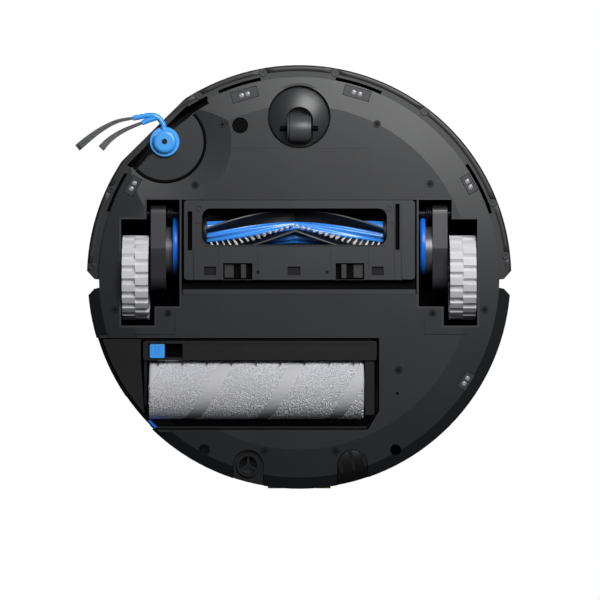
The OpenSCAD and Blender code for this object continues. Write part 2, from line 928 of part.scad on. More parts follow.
module mop_carriage() {
    top = bay_top - 0.7;
    color(black)
        difference() {
            union() {
                // lid over the roller, kept inside the housing's skirt
                intersection() {
                    box([-165, 64.2], [mop_y[0] + 0.9, mop_y[1] - 0.9], [top - 2, top]);
                    post([0, 0], 160, [0, 80]);
                    slab(mop_bay(-1.4), [0, 80]);
                }
                intersection() {
                    box([-165, 60], [mop_y[0] + 0.9, mop_y[0] + 2.1], [base_z + 7, top - 1]);
                    post([0, 0], 160, [0, 80]);
                }
                box([-117, 56], [mop_y[1] - 2.7, mop_y[1] - 1.1], [base_z + 2, cover_top]);
                box([-98, 56], [mop_y[1] - 2.7, mop_y[1] - 1.1], [cover_top - 1, top - 1]);
                // outer side cover, flush with the body's side
                intersection() {
                    difference() {
                        post([0, 0], cover_r[1], [base_z + 1, cover_top]);
                        post([0, 0], cover_r[0], [base_z + 3, cover_top + 1]);
                    }
                    slab([[-180, mop_y[0] + 0.9], [-130.6, mop_y[0] + 0.9], [-130.6, 71], [-127.6, 112.6],
                        [-180, 112.6]], [0, 80]);
                }
                box([-161, -130.8], [mop_y[0] + 0.9, mop_y[0] + 2.1], [base_z + 2, cover_top]);
            }
            // seat of the side accent
            box([-130, -116.9], [116, mop_y[1]], [0, 80]);
        }
}

module mop_cradle() {
    color(dark)
        difference() {
            union() {
                slab(round_rect(comb_x, comb_y, 2), comb_z);
                for (k = [0:8])
                    box([-116.2 + comb_pitch * k, -115.2 + comb_pitch * k], [59.7, 71.9],
                        [comb_z[0] - 0.4, comb_z[0] + 1.2]);
                // bearing plates at the roller's ends
                translate([-127.6, 0, 0])
                    rotate([90, 0, 90])
                        linear_extrude(2)
                            polygon([[66, 12], [105.6, 12], [105.6, 38], [98, 46], [98, 49], [66, 49]]);
                slab(round_rect([54.4, 62], [53, 113.6], 2), [base_z + 1, 49]);
            }
            box([-122, 52], [comb_y[0] + 2, comb_y[1] - 2.4], [comb_z[0] + 2.6, 20]);
            box(slot_x, slot_y, [0, 14]);
            box([-94, 60.5], [comb_y[0] + 2.4, comb_y[1] - 3], [0, comb_z[0] + 0.5]);
            bar_x([roller_y, roller_z], 5 + run_fit, [-130, -120]);
            bar_x([roller_y, roller_z], 5 + run_fit, [54, 60]);
            bar_x([roller_y, roller_z], roller_r + 0.5, [-125.4, 54.2]);
        }
}

module mop_release_button() {
    color(blue)
        difference() {
            slab(round_rect([-123.2, -110.9], [55.1, 66.6], 1.2), [comb_z[0] + 0.4, comb_z[0] + 2.2]);
            box([-119, -118.3], [57, 64.6], [0, comb_z[0] + 0.8]);
            box([-116.6, -115.9], [57, 64.6], [0, comb_z[0] + 0.8]);
        }
}

module mop_roller_core() {
    color(black)
        difference() {
            union() {
                bar_x([roller_y, roller_z], roller_r - sleeve_t, [roller_x[0] - 0.4, roller_x[1] + 0.3]);
                bar_x([roller_y, roller_z], 5, [-127.4, 59]);
            }
            bar_x([roller_y, roller_z], 3, [-128, 60]);
        }
}

module mop_roller_sleeve() {
    color("#dcdde0")
        difference() {
            bar_x([roller_y, roller_z], roller_r, roller_x);
            bar_x([roller_y, roller_z], roller_r - sleeve_t, [roller_x[0] - 1, roller_x[1] + 1]);
        }
}

module mop_motor() {
    color(steel)
        union() {
            bar_x([60.4, 42], 6.5, [8, 54.4]);
            bar_x([60.4, 42], 2, [2, 8.1]);
        }
}

module mop_side_accent() {
    color(blue)
        sector(133.6, 136.3, ring_section([170.4, 172], [base_z + 2, 24]));
}

// ---- fittings on the underside and the rear ----

module floor_sensors() {
    color(black) {
        for (c = cliff_at)
            translate([c[0], c[1], 0])
                rotate([0, 0, c[2]])
                    difference() {
                        box([-c[3] / 2, c[3] / 2], [-c[4] / 2, c[4] / 2], [base_z + 1.3, 24]);
                        for (x = [-2.6, 2.6])
                            translate([x, 0, 0])
                                box([-1.9, 1.9], [-1.9, 1.9], [0, base_z + 1.9]);
                    }
        post(carpet_at, 6.3, [base_z + 1.6, 19]);
    }
}

module port_insert(at, z) {
    intersection() {
        port_outline(at, port_r - 0.5, z);
        post([0, 0], body_r - 0.8, [0, 40]);
    }
}

module drain_port() {
    color(dark)
        difference() {
            union() {
                port_insert(drain_at, [lip_z + 1.2, seam_z - 0.4]);
                post(drain_at, 9.6, [base_z + 0.6, seam_z - 1]);
            }
            difference() {
                post(drain_at, 7.4, [0, 40]);
                for (a = [30, 150, 270])
                    translate([drain_at[0], drain_at[1], 0])
                        rotate([0, 0, a])
                            box([0, 9], [-1, 1], [base_z + 1.6, base_z + 4]);
                post(drain_at, 2, [base_z + 1.6, base_z + 4]);
            }
            difference() {
                post(drain_at, 10.6, [0, lip_z + 2]);
                post(drain_at, 9.6, [0, 40]);
            }
        }
}

module rear_plug() {
    color(dark)
        intersection() {
            port_insert(plug_at, [base_z + 0.3, seam_z - 0.4]);
            rotate_extrude()
                polygon([[0, base_z + 0.3], [flat_r, base_z + 0.3], [lip_r, lip_z], [body_r, lip_z + 6.6],
                    [body_r, seam_z], [0, seam_z]]);
        }
}

module charging_contacts() {
    color("#c9b26a")
        for (s = [-1, 1])
            box([s * contact_x - 6, s * contact_x + 6], [170.6, body_r + 0.1], [32, 40]);
}

module chassis_screws() {
    color(black)
        for (p = chassis_screw_at)
            union() {
                difference() {
                    post(p, 2.8, [plate_top - 2.4, plate_top - 1]);
                    for (a = [0, 90])
                        translate([p[0], p[1], 0])
                            rotate([0, 0, a])
                                box([-1.6, 1.6], [-0.35, 0.35], [0, plate_top - 1.8]);
                }
                post(p, 1.4, [plate_top - 1.2, plate_top + 3]);
            }
}

// ---- inside ----

module battery_pack() {
    color("#3c5f8a")
        box([-70, 60], [-103.6, -66.4], [15, 54]);
}

module main_board() {
    color("#1f6b3a") {
        box([-76, 58], [-118, -66], [58, 59.6]);
        box([-40, -22], [-100, -82], [59.6, 62]);
        box([4, 20], [-104, -90], [59.6, 61.4]);
        box([-70, -58], [-90, -72], [59.6, 67]);
        box([36, 52], [-112, -100], [59.6, 66]);
    }
}

module vacuum_fan() {
    at = [89, -94];
    color(black)
        difference() {
            union() {
                post(at, 26.5, [25, 58]);
                box([62.5, 80], [-80, -68], [44, 56]);
            }
            post(at, 11, [40, 60]);
            post(at, 21, [28, 48]);
            box([60, 85], [-78.4, -69.6], [45.6, 54.4]);
        }
}

module dust_bin() {
    color("#3a3d42")
        difference() {
            union() {
                slab(round_rect(bin_x, bin_y, 4), [45.4, deck_z + 1]);
                slab(round_rect([bin_x[0] - 4, bin_x[1] + 3], [bin_y[0] - 4, bin_y[1] + 0.4], 4),
                    [deck_z + clear, deck_z + 1.7]);
            }
            slab(round_rect([bin_x[0] + 2, bin_x[1] - 2], [bin_y[0] + 2, bin_y[1] - 2], 3),
                [47, deck_z - 1.5]);
            box([-suction_x, suction_x], suction_y, [40, 50]);
            box([-19, 49], [bin_y[0] - 1, bin_y[0] + 3], [52, 72]);
            // finger recess in the lid
            slab(round_rect([-60, -30], [-40, -14], 4), [deck_z, 90]);
        }
}

module dust_filter() {
    pleats = 16;
    pitch = 67.2 / pleats;
    color("#eef0f2")
        translate([0, 0, 52.3])
            linear_extrude(19.4)
                polygon(concat([for (i = [0:pleats - 1]) for (p = [[0, -0.2], [0.5, -3.6]])
                        [-18.6 + (i + p[0]) * pitch, bin_y[0] + 10 + p[1]]],
                    [[48.6, bin_y[0] + 9.8], [48.6, bin_y[0] + 0.3], [-18.6, bin_y[0] + 0.3]]));
}

module tank_blank(d) {
    intersection() {
        box([69.5 + d, 150], [50 + d, 124 - d], [25 + d, 72 - d]);
        post([0, 0], 166 - d, [0, 90]);
    }
}

module clean_water_tank() {
    color("#9fb4c8")
        difference() {
            tank_blank(0);
            tank_blank(2);
            post([90, 70], 8, [60, 80]);
        }
}

module waste_blank(d) {
    intersection() {
        box([-100 + d, 62 - d], [129 + d, 175], [27.4 + d, 70 - d]);
        post([0, 0], 168 - d, [0, 90]);
    }
}

module waste_water_tank() {
    color("#59636e")
        difference() {
            waste_blank(0);
            waste_blank(2);
            post(drain_at + [0, -8], 5, [20, 40]);
        }
}

lower_chassis();
upper_housing();
top_cover();
power_button();
lidar_rotor();
lidar_cap();
bumper_shell();
bumper_inner_ring();
bumper_window();
bumper_switches();
caster_swivel();
caster_wheel();
caster_axle();
side_brush_plate();
side_brush_motor();
side_brush_hub();
side_brush_bristles();
side_brush_screw();
brush_housing();
brush_guard();
guard_latch_right();
guard_latch_left();
brush_core();
brush_blades();
brush_bristles();
brush_end_caps();
brush_motor();
wheel_frame_right();
wheel_frame_left();
swing_arm_right();
swing_arm_left();
wheel_motor_right();
wheel_motor_left();
motor_cover_right();
motor_cover_left();
wheel_hub_right();
wheel_hub_left();
tyre_right();
tyre_left();
pivot_pins();
suspension_springs();
mop_carriage();
mop_cradle();
mop_release_button();
mop_roller_core();
mop_roller_sleeve();
mop_motor();
mop_side_accent();
floor_sensors();
drain_port();
rear_plug();
charging_contacts();
chassis_screws();
battery_pack();
main_board();
vacuum_fan();
dust_bin();
dust_filter();
clean_water_tank();
waste_water_tank();
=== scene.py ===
"""Looks of the robot vacuum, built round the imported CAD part."""
import math

import bpy
import numpy as np
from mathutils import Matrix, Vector


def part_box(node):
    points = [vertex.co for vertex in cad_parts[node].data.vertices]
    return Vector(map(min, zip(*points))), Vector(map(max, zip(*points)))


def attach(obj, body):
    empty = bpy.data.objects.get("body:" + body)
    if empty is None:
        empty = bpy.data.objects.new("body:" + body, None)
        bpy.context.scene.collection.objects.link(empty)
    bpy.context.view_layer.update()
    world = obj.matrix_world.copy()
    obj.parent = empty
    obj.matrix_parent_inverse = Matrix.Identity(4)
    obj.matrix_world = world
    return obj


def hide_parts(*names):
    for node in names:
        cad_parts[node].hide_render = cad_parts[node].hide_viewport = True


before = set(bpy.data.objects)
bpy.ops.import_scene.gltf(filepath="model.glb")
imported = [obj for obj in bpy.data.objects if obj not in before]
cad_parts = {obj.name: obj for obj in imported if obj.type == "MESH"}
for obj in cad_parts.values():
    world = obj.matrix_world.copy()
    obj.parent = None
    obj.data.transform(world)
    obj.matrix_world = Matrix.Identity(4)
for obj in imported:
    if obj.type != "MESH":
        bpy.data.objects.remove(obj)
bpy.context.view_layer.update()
scene = bpy.context.scene
rng = np.random.default_rng(7)
MM = 0.001


# ---- materials ----

def new_material(name):
    mat = bpy.data.materials.new(name)
    mat.use_nodes = True
    return mat, mat.node_tree.nodes, mat.node_tree.links


def coordinates(nodes, links, scale):
    co = nodes.new("ShaderNodeTexCoord")
    mapping = nodes.new("ShaderNodeMapping")
    mapping.inputs["Scale"].default_value = scale
    links.new(co.outputs["Object"], mapping.inputs["Vector"])
    return mapping.outputs["Vector"]


def plastic(name, color, rough=0.42, grain=900.0, bump=0.06, vary=0.06, wear=0.05, coat=0.0, spec=0.5,
            metal=0.0):
    """Moulded surface: fine grain in the height, slow changes in shade and gloss."""
    mat, nodes, links = new_material(name)
    shader = nodes["Principled BSDF"]
    shader.inputs["Metallic"].default_value = metal
    shader.inputs["Specular IOR Level"].default_value = spec
    if coat:
        shader.inputs["Coat Weight"].default_value = coat
        shader.inputs["Coat Roughness"].default_value = 0.12
    at = coordinates(nodes, links, (1, 1, 1))
    fine = nodes.new("ShaderNodeTexNoise")
    fine.inputs["Scale"].default_value = grain
    fine.inputs["Detail"].default_value = 4
    links.new(at, fine.inputs["Vector"])
    slow = nodes.new("ShaderNodeTexNoise")
    slow.inputs["Scale"].default_value = 18
    slow.inputs["Detail"].default_value = 6
    links.new(at, slow.inputs["Vector"])
    shade = nodes.new("ShaderNodeMix")
    shade.data_type = "RGBA"
    low = [c * (1 - vary) for c in color]
    high = [min(1, c * (1 + vary)) for c in color]
    shade.inputs["A"].default_value = (*low, 1)
    shade.inputs["B"].default_value = (*high, 1)
    links.new(slow.outputs["Fac"], shade.inputs["Factor"])
    links.new(shade.outputs["Result"], shader.inputs["Base Color"])
    gloss = nodes.new("ShaderNodeMapRange")
    gloss.inputs["To Min"].default_value = max(0.02, rough - wear)
    gloss.inputs["To Max"].default_value = min(1, rough + wear)
    links.new(slow.outputs["Fac"], gloss.inputs["Value"])
    links.new(gloss.outputs["Result"], shader.inputs["Roughness"])
    height = nodes.new("ShaderNodeBump")
    height.inputs["Strength"].default_value = bump
    height.inputs["Distance"].default_value = 0.0002
    links.new(fine.outputs["Fac"], height.inputs["Height"])
    links.new(height.outputs["Normal"], shader.inputs["Normal"])
    return mat


M = {}
M["shell"] = plastic("shell_plastic", (0.020, 0.021, 0.023), 0.36, 700, 0.10)
M["chassis"] = plastic("chassis_plastic", (0.0145, 0.0155, 0.0175), 0.37, 800, 0.08)
M["bumper"] = plastic("bumper_plastic", (0.010, 0.010, 0.011), 0.42, 700, 0.08)
M["trim"] = plastic("trim_plastic", (0.008, 0.008, 0.009), 0.42, 800, 0.08, spec=0.3)
# near-black: the caster axle's own black, and elsewhere painted shade in recesses, wells and grooves
M["inner"] = plastic("black_plastic_and_painted_shade", (0.0015, 0.0015, 0.0017), 0.6, 800, 0.08, spec=0.05)
M["guard"] = plastic("guard_plastic", (0.024, 0.025, 0.028), 0.38, 800, 0.08)
M["arm"] = plastic("arm_plastic", (0.030, 0.030, 0.034), 0.38, 800, 0.08)
# near-black: painted shade inside the guard's pockets, end slots and windows
M["pocket"] = plastic("guard_pocket_painted_shade", (0.007, 0.007, 0.008), 0.5, 800, 0.08, spec=0.2)
M["latch"] = plastic("latch_plastic", (0.028, 0.028, 0.030), 0.36, 800, 0.08)
M["blue"] = plastic("blue_plastic", (0.008, 0.17, 0.80), 0.34, 600, 0.03, coat=0.1, spec=0.3)
M["blue_light"] = plastic("arm_blue_plastic", (0.05, 0.38, 1.0), 0.34, 600, 0.03, coat=0.3)
M["caster"] = plastic("caster_plastic", (0.028, 0.029, 0.031), 0.36, 800, 0.05)
M["caster_wheel"] = plastic("caster_rubber", (0.060, 0.061, 0.064), 0.42, 800, 0.08)
M["tyre"] = plastic("tyre_rubber", (0.64, 0.64, 0.67), 0.62, 500, 0.20)
M["rubber"] = plastic("blade_rubber", (0.004, 0.004, 0.005), 0.50, 500, 0.08, spec=0.2)
M["blade_edge"] = plastic("blade_edge_rubber", (0.09, 0.09, 0.095), 0.50, 500, 0.08)
M["screw"] = plastic("screw_steel", (0.012, 0.012, 0.013), 0.40, 1500, 0.05, metal=0.3, spec=0.3)
M["motor"] = plastic("motor_case", (0.11, 0.11, 0.12), 0.35, 900, 0.05, metal=0.4)
M["gloss"] = plastic("sensor_window", (0.006, 0.006, 0.007), 0.06, 300, 0.01, coat=0.5)
M["contact"] = plastic("contact_plate", (0.75, 0.55, 0.25), 0.25, 900, 0.03, metal=1.0)
M["cells"] = plastic("cell_wrap", (0.03, 0.10, 0.28), 0.35, 500, 0.05)
M["board"] = plastic("board_green", (0.015, 0.12, 0.04), 0.40, 900, 0.10)
M["filter"] = plastic("filter_white", (0.75, 0.76, 0.78), 0.85, 700, 0.3)
M["bin"] = plastic("bin_smoke", (0.035, 0.038, 0.044), 0.15, 300, 0.02, coat=0.3)
M["tank"] = plastic("tank_clear", (0.22, 0.28, 0.36), 0.15, 300, 0.02, coat=0.3)
M["tank2"] = plastic("tank_smoke", (0.06, 0.07, 0.09), 0.18, 300, 0.02, coat=0.3)
M["deck"] = plastic("deck_plastic", (0.028, 0.029, 0.032), 0.34, 600, 0.06)
M["fabric"] = plastic("sleeve_backing", (0.56, 0.56, 0.58), 0.9, 900, 0.4)
M["bristle"] = plastic("side_bristle_nylon", (0.14, 0.142, 0.15), 0.42, 2500, 0.10)
M["core"] = plastic("core_blue", (0.045, 0.30, 0.98), 0.26, 600, 0.03, coat=0.4)
M["pile"] = plastic("microfibre_white", (0.82, 0.82, 0.86), 0.85, 1500, 0.3, vary=0.14)
M["lens"] = plastic("sensor_lens", (0.30, 0.30, 0.32), 0.25, 500, 0.03, coat=0.5)
M["hair"] = plastic("white_bristle_nylon", (0.80, 0.80, 0.84), 0.45, 2500, 0.10)

LOOK = {
    "lower_chassis": "chassis", "upper_housing": "shell", "top_cover": "deck", "power_button": "gloss",
    "lidar_rotor": "trim", "lidar_cap": "deck", "bumper_shell": "bumper", "bumper_inner_ring": "chassis",
    "bumper_window": "gloss", "bumper_switches": "trim", "caster_swivel": "caster",
    "caster_wheel": "caster_wheel", "caster_axle": "inner", "side_brush_plate": "chassis",
    "side_brush_motor": "trim", "side_brush_hub": "blue_light", "side_brush_bristles": "bristle",
    "side_brush_screw": "screw", "brush_housing": "inner", "brush_guard": "guard",
    "guard_latch_right": "latch", "guard_latch_left": "latch", "brush_core": "blue",
    "brush_blades": "rubber", "brush_bristles": "hair", "brush_end_caps": "trim", "brush_motor": "motor",
    "wheel_frame_right": "inner", "wheel_frame_left": "inner", "swing_arm_right": "arm",
    "swing_arm_left": "arm", "wheel_motor_right": "motor", "wheel_motor_left": "motor",
    "motor_cover_right": "blue", "motor_cover_left": "blue", "wheel_hub_right": "trim",
    "wheel_hub_left": "trim", "tyre_right": "tyre", "tyre_left": "tyre", "pivot_pins": "screw",
    "suspension_springs": "screw", "mop_carriage": "trim", "mop_cradle": "trim",
    "mop_release_button": "blue_light", "mop_roller_core": "trim", "mop_roller_sleeve": "fabric",
    "mop_motor": "motor", "mop_side_accent": "blue", "floor_sensors": "guard", "drain_port": "trim",
    "rear_plug": "trim", "charging_contacts": "contact", "chassis_screws": "screw",
    "battery_pack": "cells", "main_board": "board", "vacuum_fan": "trim", "dust_bin": "bin",
    "dust_filter": "filter", "clean_water_tank": "tank", "waste_water_tank": "tank2"}


WELD_REACH = 0.01
FLAT_ANGLE = math.radians(0.05)
SHARP_ANGLE = math.radians(32)


def finish_cad(o, width):
    """Closes the seams between CAD faces, merges flat ones and rounds the sharp edges a little."""
    weld = o.modifiers.new("weld", "WELD")
    weld.merge_threshold = WELD_REACH * MM
    flat = o.modifiers.new("flat", "DECIMATE")
    flat.decimate_type = "DISSOLVE"
    flat.angle_limit = FLAT_ANGLE
    bevel = o.modifiers.new("edge", "BEVEL")
    bevel.width = width * MM
    bevel.segments = 2
    bevel.limit_method = "ANGLE"
    bevel.angle_limit = SHARP_ANGLE
    bevel.harden_normals = False
    bevel.use_clamp_overlap = True


BEVEL = 0.3
TYRE_BEVEL = 0.25
BEVELS = {"tyre_right": TYRE_BEVEL, "tyre_left": TYRE_BEVEL}

for name, look in LOOK.items():
    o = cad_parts[name]
    o.data.materials.clear()
    o.data.materials.append(M[look])


# ---- mesh helpers ----

def piece(name, verts, faces, look, body, replaces=(), smooth=True):
    mesh = bpy.data.meshes.new(name)
    mesh.from_pydata([tuple(float(c) * MM for c in v) for v in verts], [], faces)
    mesh.update()
    o = bpy.data.objects.new(name, mesh)
    scene.collection.objects.link(o)
    mesh.materials.append(M[look])
    mesh.polygons.foreach_set("use_smooth", [smooth] * len(mesh.polygons))
    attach(o, body)
    if replaces:
        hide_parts(*replaces)
    return o


def tube(verts, faces, path, radii, sides=4):
    """Adds a closed tube along path to the two lists."""
    path = [Vector(p) for p in path]
    first = len(verts)
    for i, p in enumerate(path):
        way = (path[min(i + 1, len(path) - 1)] - path[max(i - 1, 0)]).normalized()
        across = way.cross(Vector((0, 0, 1)))
        if across.length < 0.1:
            across = way.cross(Vector((0, 1, 0)))
        across.normalize()
        up = way.cross(across)
        for k in range(sides):
            a = 2 * math.pi * k / sides
            verts.append(p + (across * math.cos(a) + up * math.sin(a)) * radii[i])
    for i in range(len(path) - 1):
        for k in range(sides):
            a, b = first + i * sides + k, first + i * sides + (k + 1) % sides
            faces.append((a, b, b + sides, a + sides))
    faces.append(tuple(first + k for k in reversed(range(sides))))
    last = first + (len(path) - 1) * sides
    faces.append(tuple(last + k for k in range(sides)))


def along(points, t):
    """Point of a Catmull-Rom curve through the points, t from 0 to 1, and its direction."""
    n = len(points) - 1
    i = min(int(t * n), n - 1)
    u = t * n - i
    p = [Vector(points[max(0, min(n, i + d))]) for d in (-1, 0, 1, 2)]
    at = 0.5 * (2 * p[1] + (p[2] - p[0]) * u + (2 * p[0] - 5 * p[1] + 4 * p[2] - p[3]) * u * u
                + (3 * p[1] - p[0] - 3 * p[2] + p[3]) * u ** 3)
    way = 0.5 * ((p[2] - p[0]) + (2 * p[0] - 5 * p[1] + 4 * p[2] - p[3]) * 2 * u
                 + (3 * p[1] - p[0] - 3 * p[2] + p[3]) * 3 * u * u)
    return at, way.normalized()


# ---- side brush bristles ----

TUFTS = {
    "long": [(-135.6, -131.3, 7), (-148.4, -129, 5.8), (-159.5, -123.9, 4.4), (-170.5, -116.4, 2.9),
             (-182.7, -106.2, 1.5)],
    "short": [(-128.6, -127.7, 7), (-144.7, -120.9, 5.4), (-155.8, -113.6, 3.6), (-163, -105.8, 1.7)]}


STRANDS = 110


def side_bristles():
    verts, faces = [], []
    for points in TUFTS.values():
        for k in range(STRANDS):
            side, high = rng.uniform(-1, 1), rng.uniform(-1, 1)
            end = rng.uniform(0.975, 1.0) if abs(side) < 0.9 else rng.uniform(0.95, 0.99)
            path, radii = [], []
            sway = rng.uniform(-0.22, 0.22)
            for j in range(15):
                t = j / 14 * end
                at, way = along(points, t)
                across = Vector((-way.y, way.x, 0)).normalized()
                spread = 0.95 + 1.95 * t
                path.append(at + across * (side * spread + sway * math.sin(3 * t + k)) + Vector((0, 0, 1))
                            * high * (0.7 - 0.25 * t))
                radii.append(0.15 if j < 14 else 0.09)
            tube(verts, faces, path, radii)
    return piece("side_brush_strands", verts, faces, "bristle", "side_brush", ["side_brush_bristles"])


# ---- main brush ----

brush_lo, brush_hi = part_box("brush_core")
core_mid = [(a + b) / 2 / MM for a, b in zip(brush_lo, brush_hi)]
core_half = (brush_hi[0] - brush_lo[0]) / 2 / MM
core_r = (brush_hi[2] - brush_lo[2]) / 2 / MM
blade_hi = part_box("brush_blades")[1]
blade_r = (blade_hi[2] / MM) - core_mid[2]
TWIST = math.radians(80) / 70.1


def on_brush(x, r, lean):
    """Point of the brush at x from its middle, radius r, turned by lean from straight down to the rear."""
    return (core_mid[0] + x, core_mid[1] + r * math.sin(lean), core_mid[2] - r * math.cos(lean))


def ridged_core():
    steps, around = 120, 144
    verts, faces = [], []
    for i in range(steps + 1):
        x = core_half * (2 * i / steps - 1)
        for k in range(around):
            a = 2 * math.pi * k / around
            phase = a - TWIST * abs(x)
            r = core_r - 0.55 + 0.5 * math.cos(12 * phase)
            verts.append(on_brush(x, r, a))
    for i in range(steps):
        for k in range(around):
            a, b = i * around + k, i * around + (k + 1) % around
            faces.append((a, b, b + around, a + around))
    faces.append(tuple(range(around - 1, -1, -1)))
    faces.append(tuple(steps * around + k for k in range(around)))
    return piece("brush_core_ridged", verts, faces, "core", "main_brush", ["brush_core"])


def rubber_blades():
    """Four rubber blades a half, thick at the foot and thin at the tip."""
    verts, faces = [], []
    profile = [(-2.3, -0.9), (-1.5, 1.0), (-0.9, 3.2), (-0.75, blade_r - core_r - 0.4), (0, blade_r - core_r),
               (0.75, blade_r - core_r - 0.4), (0.9, 3.2), (1.5, 1.0), (2.3, -0.9)]
    steps = 48
    for side in (-1, 1):
        for k in range(4):
            first = len(verts)
            for i in range(steps + 1):
                x = side * (0.02 + (core_half - 0.1) * i / steps)
                lean = math.radians(-4 + 90 * k) + TWIST * abs(x)
                for across, out in profile:
                    r = core_r + out
                    verts.append(on_brush(x, r, lean + across / r))
            n = len(profile)
            for i in range(steps):
                for j in range(n):
                    a, b = first + i * n + j, first + i * n + (j + 1) % n
                    face = (a, b, b + n, a + n)
                    faces.append(face if side > 0 else face[::-1])
            cap = tuple(first + j for j in range(n))
            end = tuple(first + steps * n + j for j in range(n))
            faces.append(cap[::-1] if side > 0 else cap)
            faces.append(end if side > 0 else end[::-1])
    o = piece("brush_rubber_blades", verts, faces, "rubber", "main_brush", ["brush_blades"], smooth=False)
    # the outermost strip of each blade is lighter
    o.data.materials.append(M["blade_edge"])
    middle = Vector(core_mid)
    for face in o.data.polygons:
        reach = (face.center / MM - middle).yz.length
        face.material_index = 1 if reach > blade_r - 0.3 else 0
    return o


TUFT_STRANDS = 30
TUFT_STEP = 4.65


def white_tufts():
    """Rows of white tufts beside the blades, leaning to the middle."""
    verts, faces = [], []
    for side in (-1, 1):
        for row in range(2):
            x = 5.0
            while x < core_half - 1.5:
                lean0 = math.radians(-26 + 180 * row) + TWIST * x
                for _ in range(TUFT_STRANDS):
                    dx, da = rng.normal(0, 0.40), rng.normal(0, 0.030)
                    tip_r = blade_r - 0.5 - rng.uniform(0, 0.5)
                    path = []
                    for u in (0.0, 0.5, 1.0):
                        r = core_r - 1 + (tip_r - core_r + 1) * u
                        px = x + dx * (0.55 + 0.6 * u) - 3.4 * u
                        path.append(on_brush(side * max(0.3, px), r, lean0 + da * (0.6 + 0.6 * u)))
                    tube(verts, faces, path, [0.20, 0.20, 0.15])
                x += TUFT_STEP
    return piece("brush_white_tufts", verts, faces, "hair", "main_brush", ["brush_bristles"])


# ---- mop roller ----

roll_lo, roll_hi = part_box("mop_roller_sleeve")
roll_mid = [(a + b) / 2 / MM for a, b in zip(roll_lo, roll_hi)]
roll_r = (roll_hi[2] - roll_lo[2]) / 2 / MM
roll_x = (roll_lo[0] / MM, roll_hi[0] / MM)
PITCH = 58.7
SEAM_HALF = 5.2
SEAM_FADE = 1.2
PILE_STEP = 0.86


def on_roller(x, r, lean):
    return (x, roll_mid[1] + r * math.sin(lean), roll_mid[2] - r * math.cos(lean))


def seam_share(x, lean):
    """1 in the flat seam that winds round the roller, 0 on the pile."""
    at = (x + 102 + 9.34 * lean + 4 * math.sin(lean)) % PITCH
    d = abs(at - PITCH / 2)
    return 1.0 if d < SEAM_HALF else max(0.0, 1 - (d - SEAM_HALF) / SEAM_FADE)


def roller_backing():
    steps, around = 178, 160
    verts, faces = [], []
    x0, x1 = roll_x[0] + 0.4, roll_x[1] - 0.4
    for i in range(steps + 1):
        x = x0 + (x1 - x0) * i / steps
        edge = min(1, min(x - x0, x1 - x) / 1.5)
        for k in range(around):
            a = 2 * math.pi * k / around
            r = roll_r - 1.3 + 0.55 * seam_share(x, a) + rng.uniform(-0.12, 0.12) - 0.8 * (1 - edge)
            verts.append(on_roller(x, r, a))
    for i in range(steps):
        for k in range(around):
            a, b = i * around + k, i * around + (k + 1) % around
            faces.append((a, b, b + around, a + around))
    faces.append(tuple(range(around - 1, -1, -1)))
    faces.append(tuple(steps * around + k for k in range(around)))
    return piece("mop_fabric", verts, faces, "fabric", "mop_roller", ["mop_roller_sleeve"])


def roller_pile():
    """Short leaning loops of white microfibre all over the backing except on the seam."""
    verts, faces = [], []
    rows = int((roll_x[1] - roll_x[0] - 1) / PILE_STEP)
    around = int(2 * math.pi * roll_r / PILE_STEP)
    for i in range(rows):
        for k in range(around):
            x = roll_x[0] + 0.6 + (i + rng.uniform(-0.45, 0.45)) * PILE_STEP
            a = 2 * math.pi * (k + rng.uniform(-0.45, 0.45)) / around
            seam = seam_share(x, a)
            if rng.uniform() < 0.10 + 0.9 * seam:
                continue
            high = rng.uniform(0.75, 1.35) * (1 - 0.6 * seam)
            wide = rng.uniform(0.30, 0.44)
            turn = rng.uniform(0, math.pi)
            lean_x, lean_a = rng.uniform(-0.5, 0.5), rng.uniform(-0.5, 0.5) / roll_r
            first = len(verts)
            for j in range(4):
                b = turn + j * math.pi / 2
                w = wide * (1.35 if j % 2 else 0.8)
                verts.append(on_roller(x + w * math.cos(b), roll_r - 1.5, a + w * math.sin(b) / roll_r))
            for j in range(4):
                b = turn + j * math.pi / 2
                w = wide * (0.8 if j % 2 else 0.5)
                verts.append(on_roller(x + lean_x + w * math.cos(b), roll_r - 1.5 + high,
                                       a + lean_a + w * math.sin(b) / roll_r))
            for j in range(4):
                n = (j + 1) % 4
                faces.append((first + j, first + n, first + 4 + n, first + 4 + j))
            faces.append((first + 4, first + 5, first + 6, first + 7))
            faces.append((first + 3, first + 2, first + 1, first))
    return piece("mop_pile", verts, faces, "pile", "mop_roller", ["mop_roller_sleeve"], smooth=False)


# ---- small fittings ----

CHORD = math.radians(225.35)
HUB = (-110.8, -111.8)
RING_FAR = 157.6
LENS_OFFSET = 2.6
CARPET_SENSOR = (-48.7, -125.3)
CARPET_REACH = 9
RECESS_REACH = 3.4


def groove_shade_ring():
    """Black ring of painted shade in the groove round the side brush's seat, open at the flat."""
    verts, faces = [], []
    profile = [(31.9, 13.05), (32.2, 12.2), (33.1, 11.95), (34.0, 12.2), (34.3, 13.05)]
    normal = (math.cos(CHORD), math.sin(CHORD))
    angles = []
    for i in range(361):
        a = math.radians(i)
        far = (HUB[0] + 34.3 * math.cos(a)) * normal[0] + (HUB[1] + 34.3 * math.sin(a)) * normal[1]
        if far < RING_FAR:
            angles.append(a)
    start = next(i for i in range(len(angles) - 1) if angles[i + 1] - angles[i] > 0.1) + 1
    angles = angles[start:] + [a + 2 * math.pi for a in angles[1:start]]
    n = len(profile)
    for a in angles:
        for r, z in profile:
            verts.append((HUB[0] + r * math.cos(a), HUB[1] + r * math.sin(a), z))
    for i in range(len(angles) - 1):
        for j in range(n):
            p, q = i * n + j, i * n + (j + 1) % n
            faces.append((p, p + n, q + n, q))
    faces.append(tuple(range(n)))
    faces.append(tuple(len(verts) - 1 - j for j in range(n)))
    return piece("side_brush_groove_shade_ring", verts, faces, "inner", "chassis")


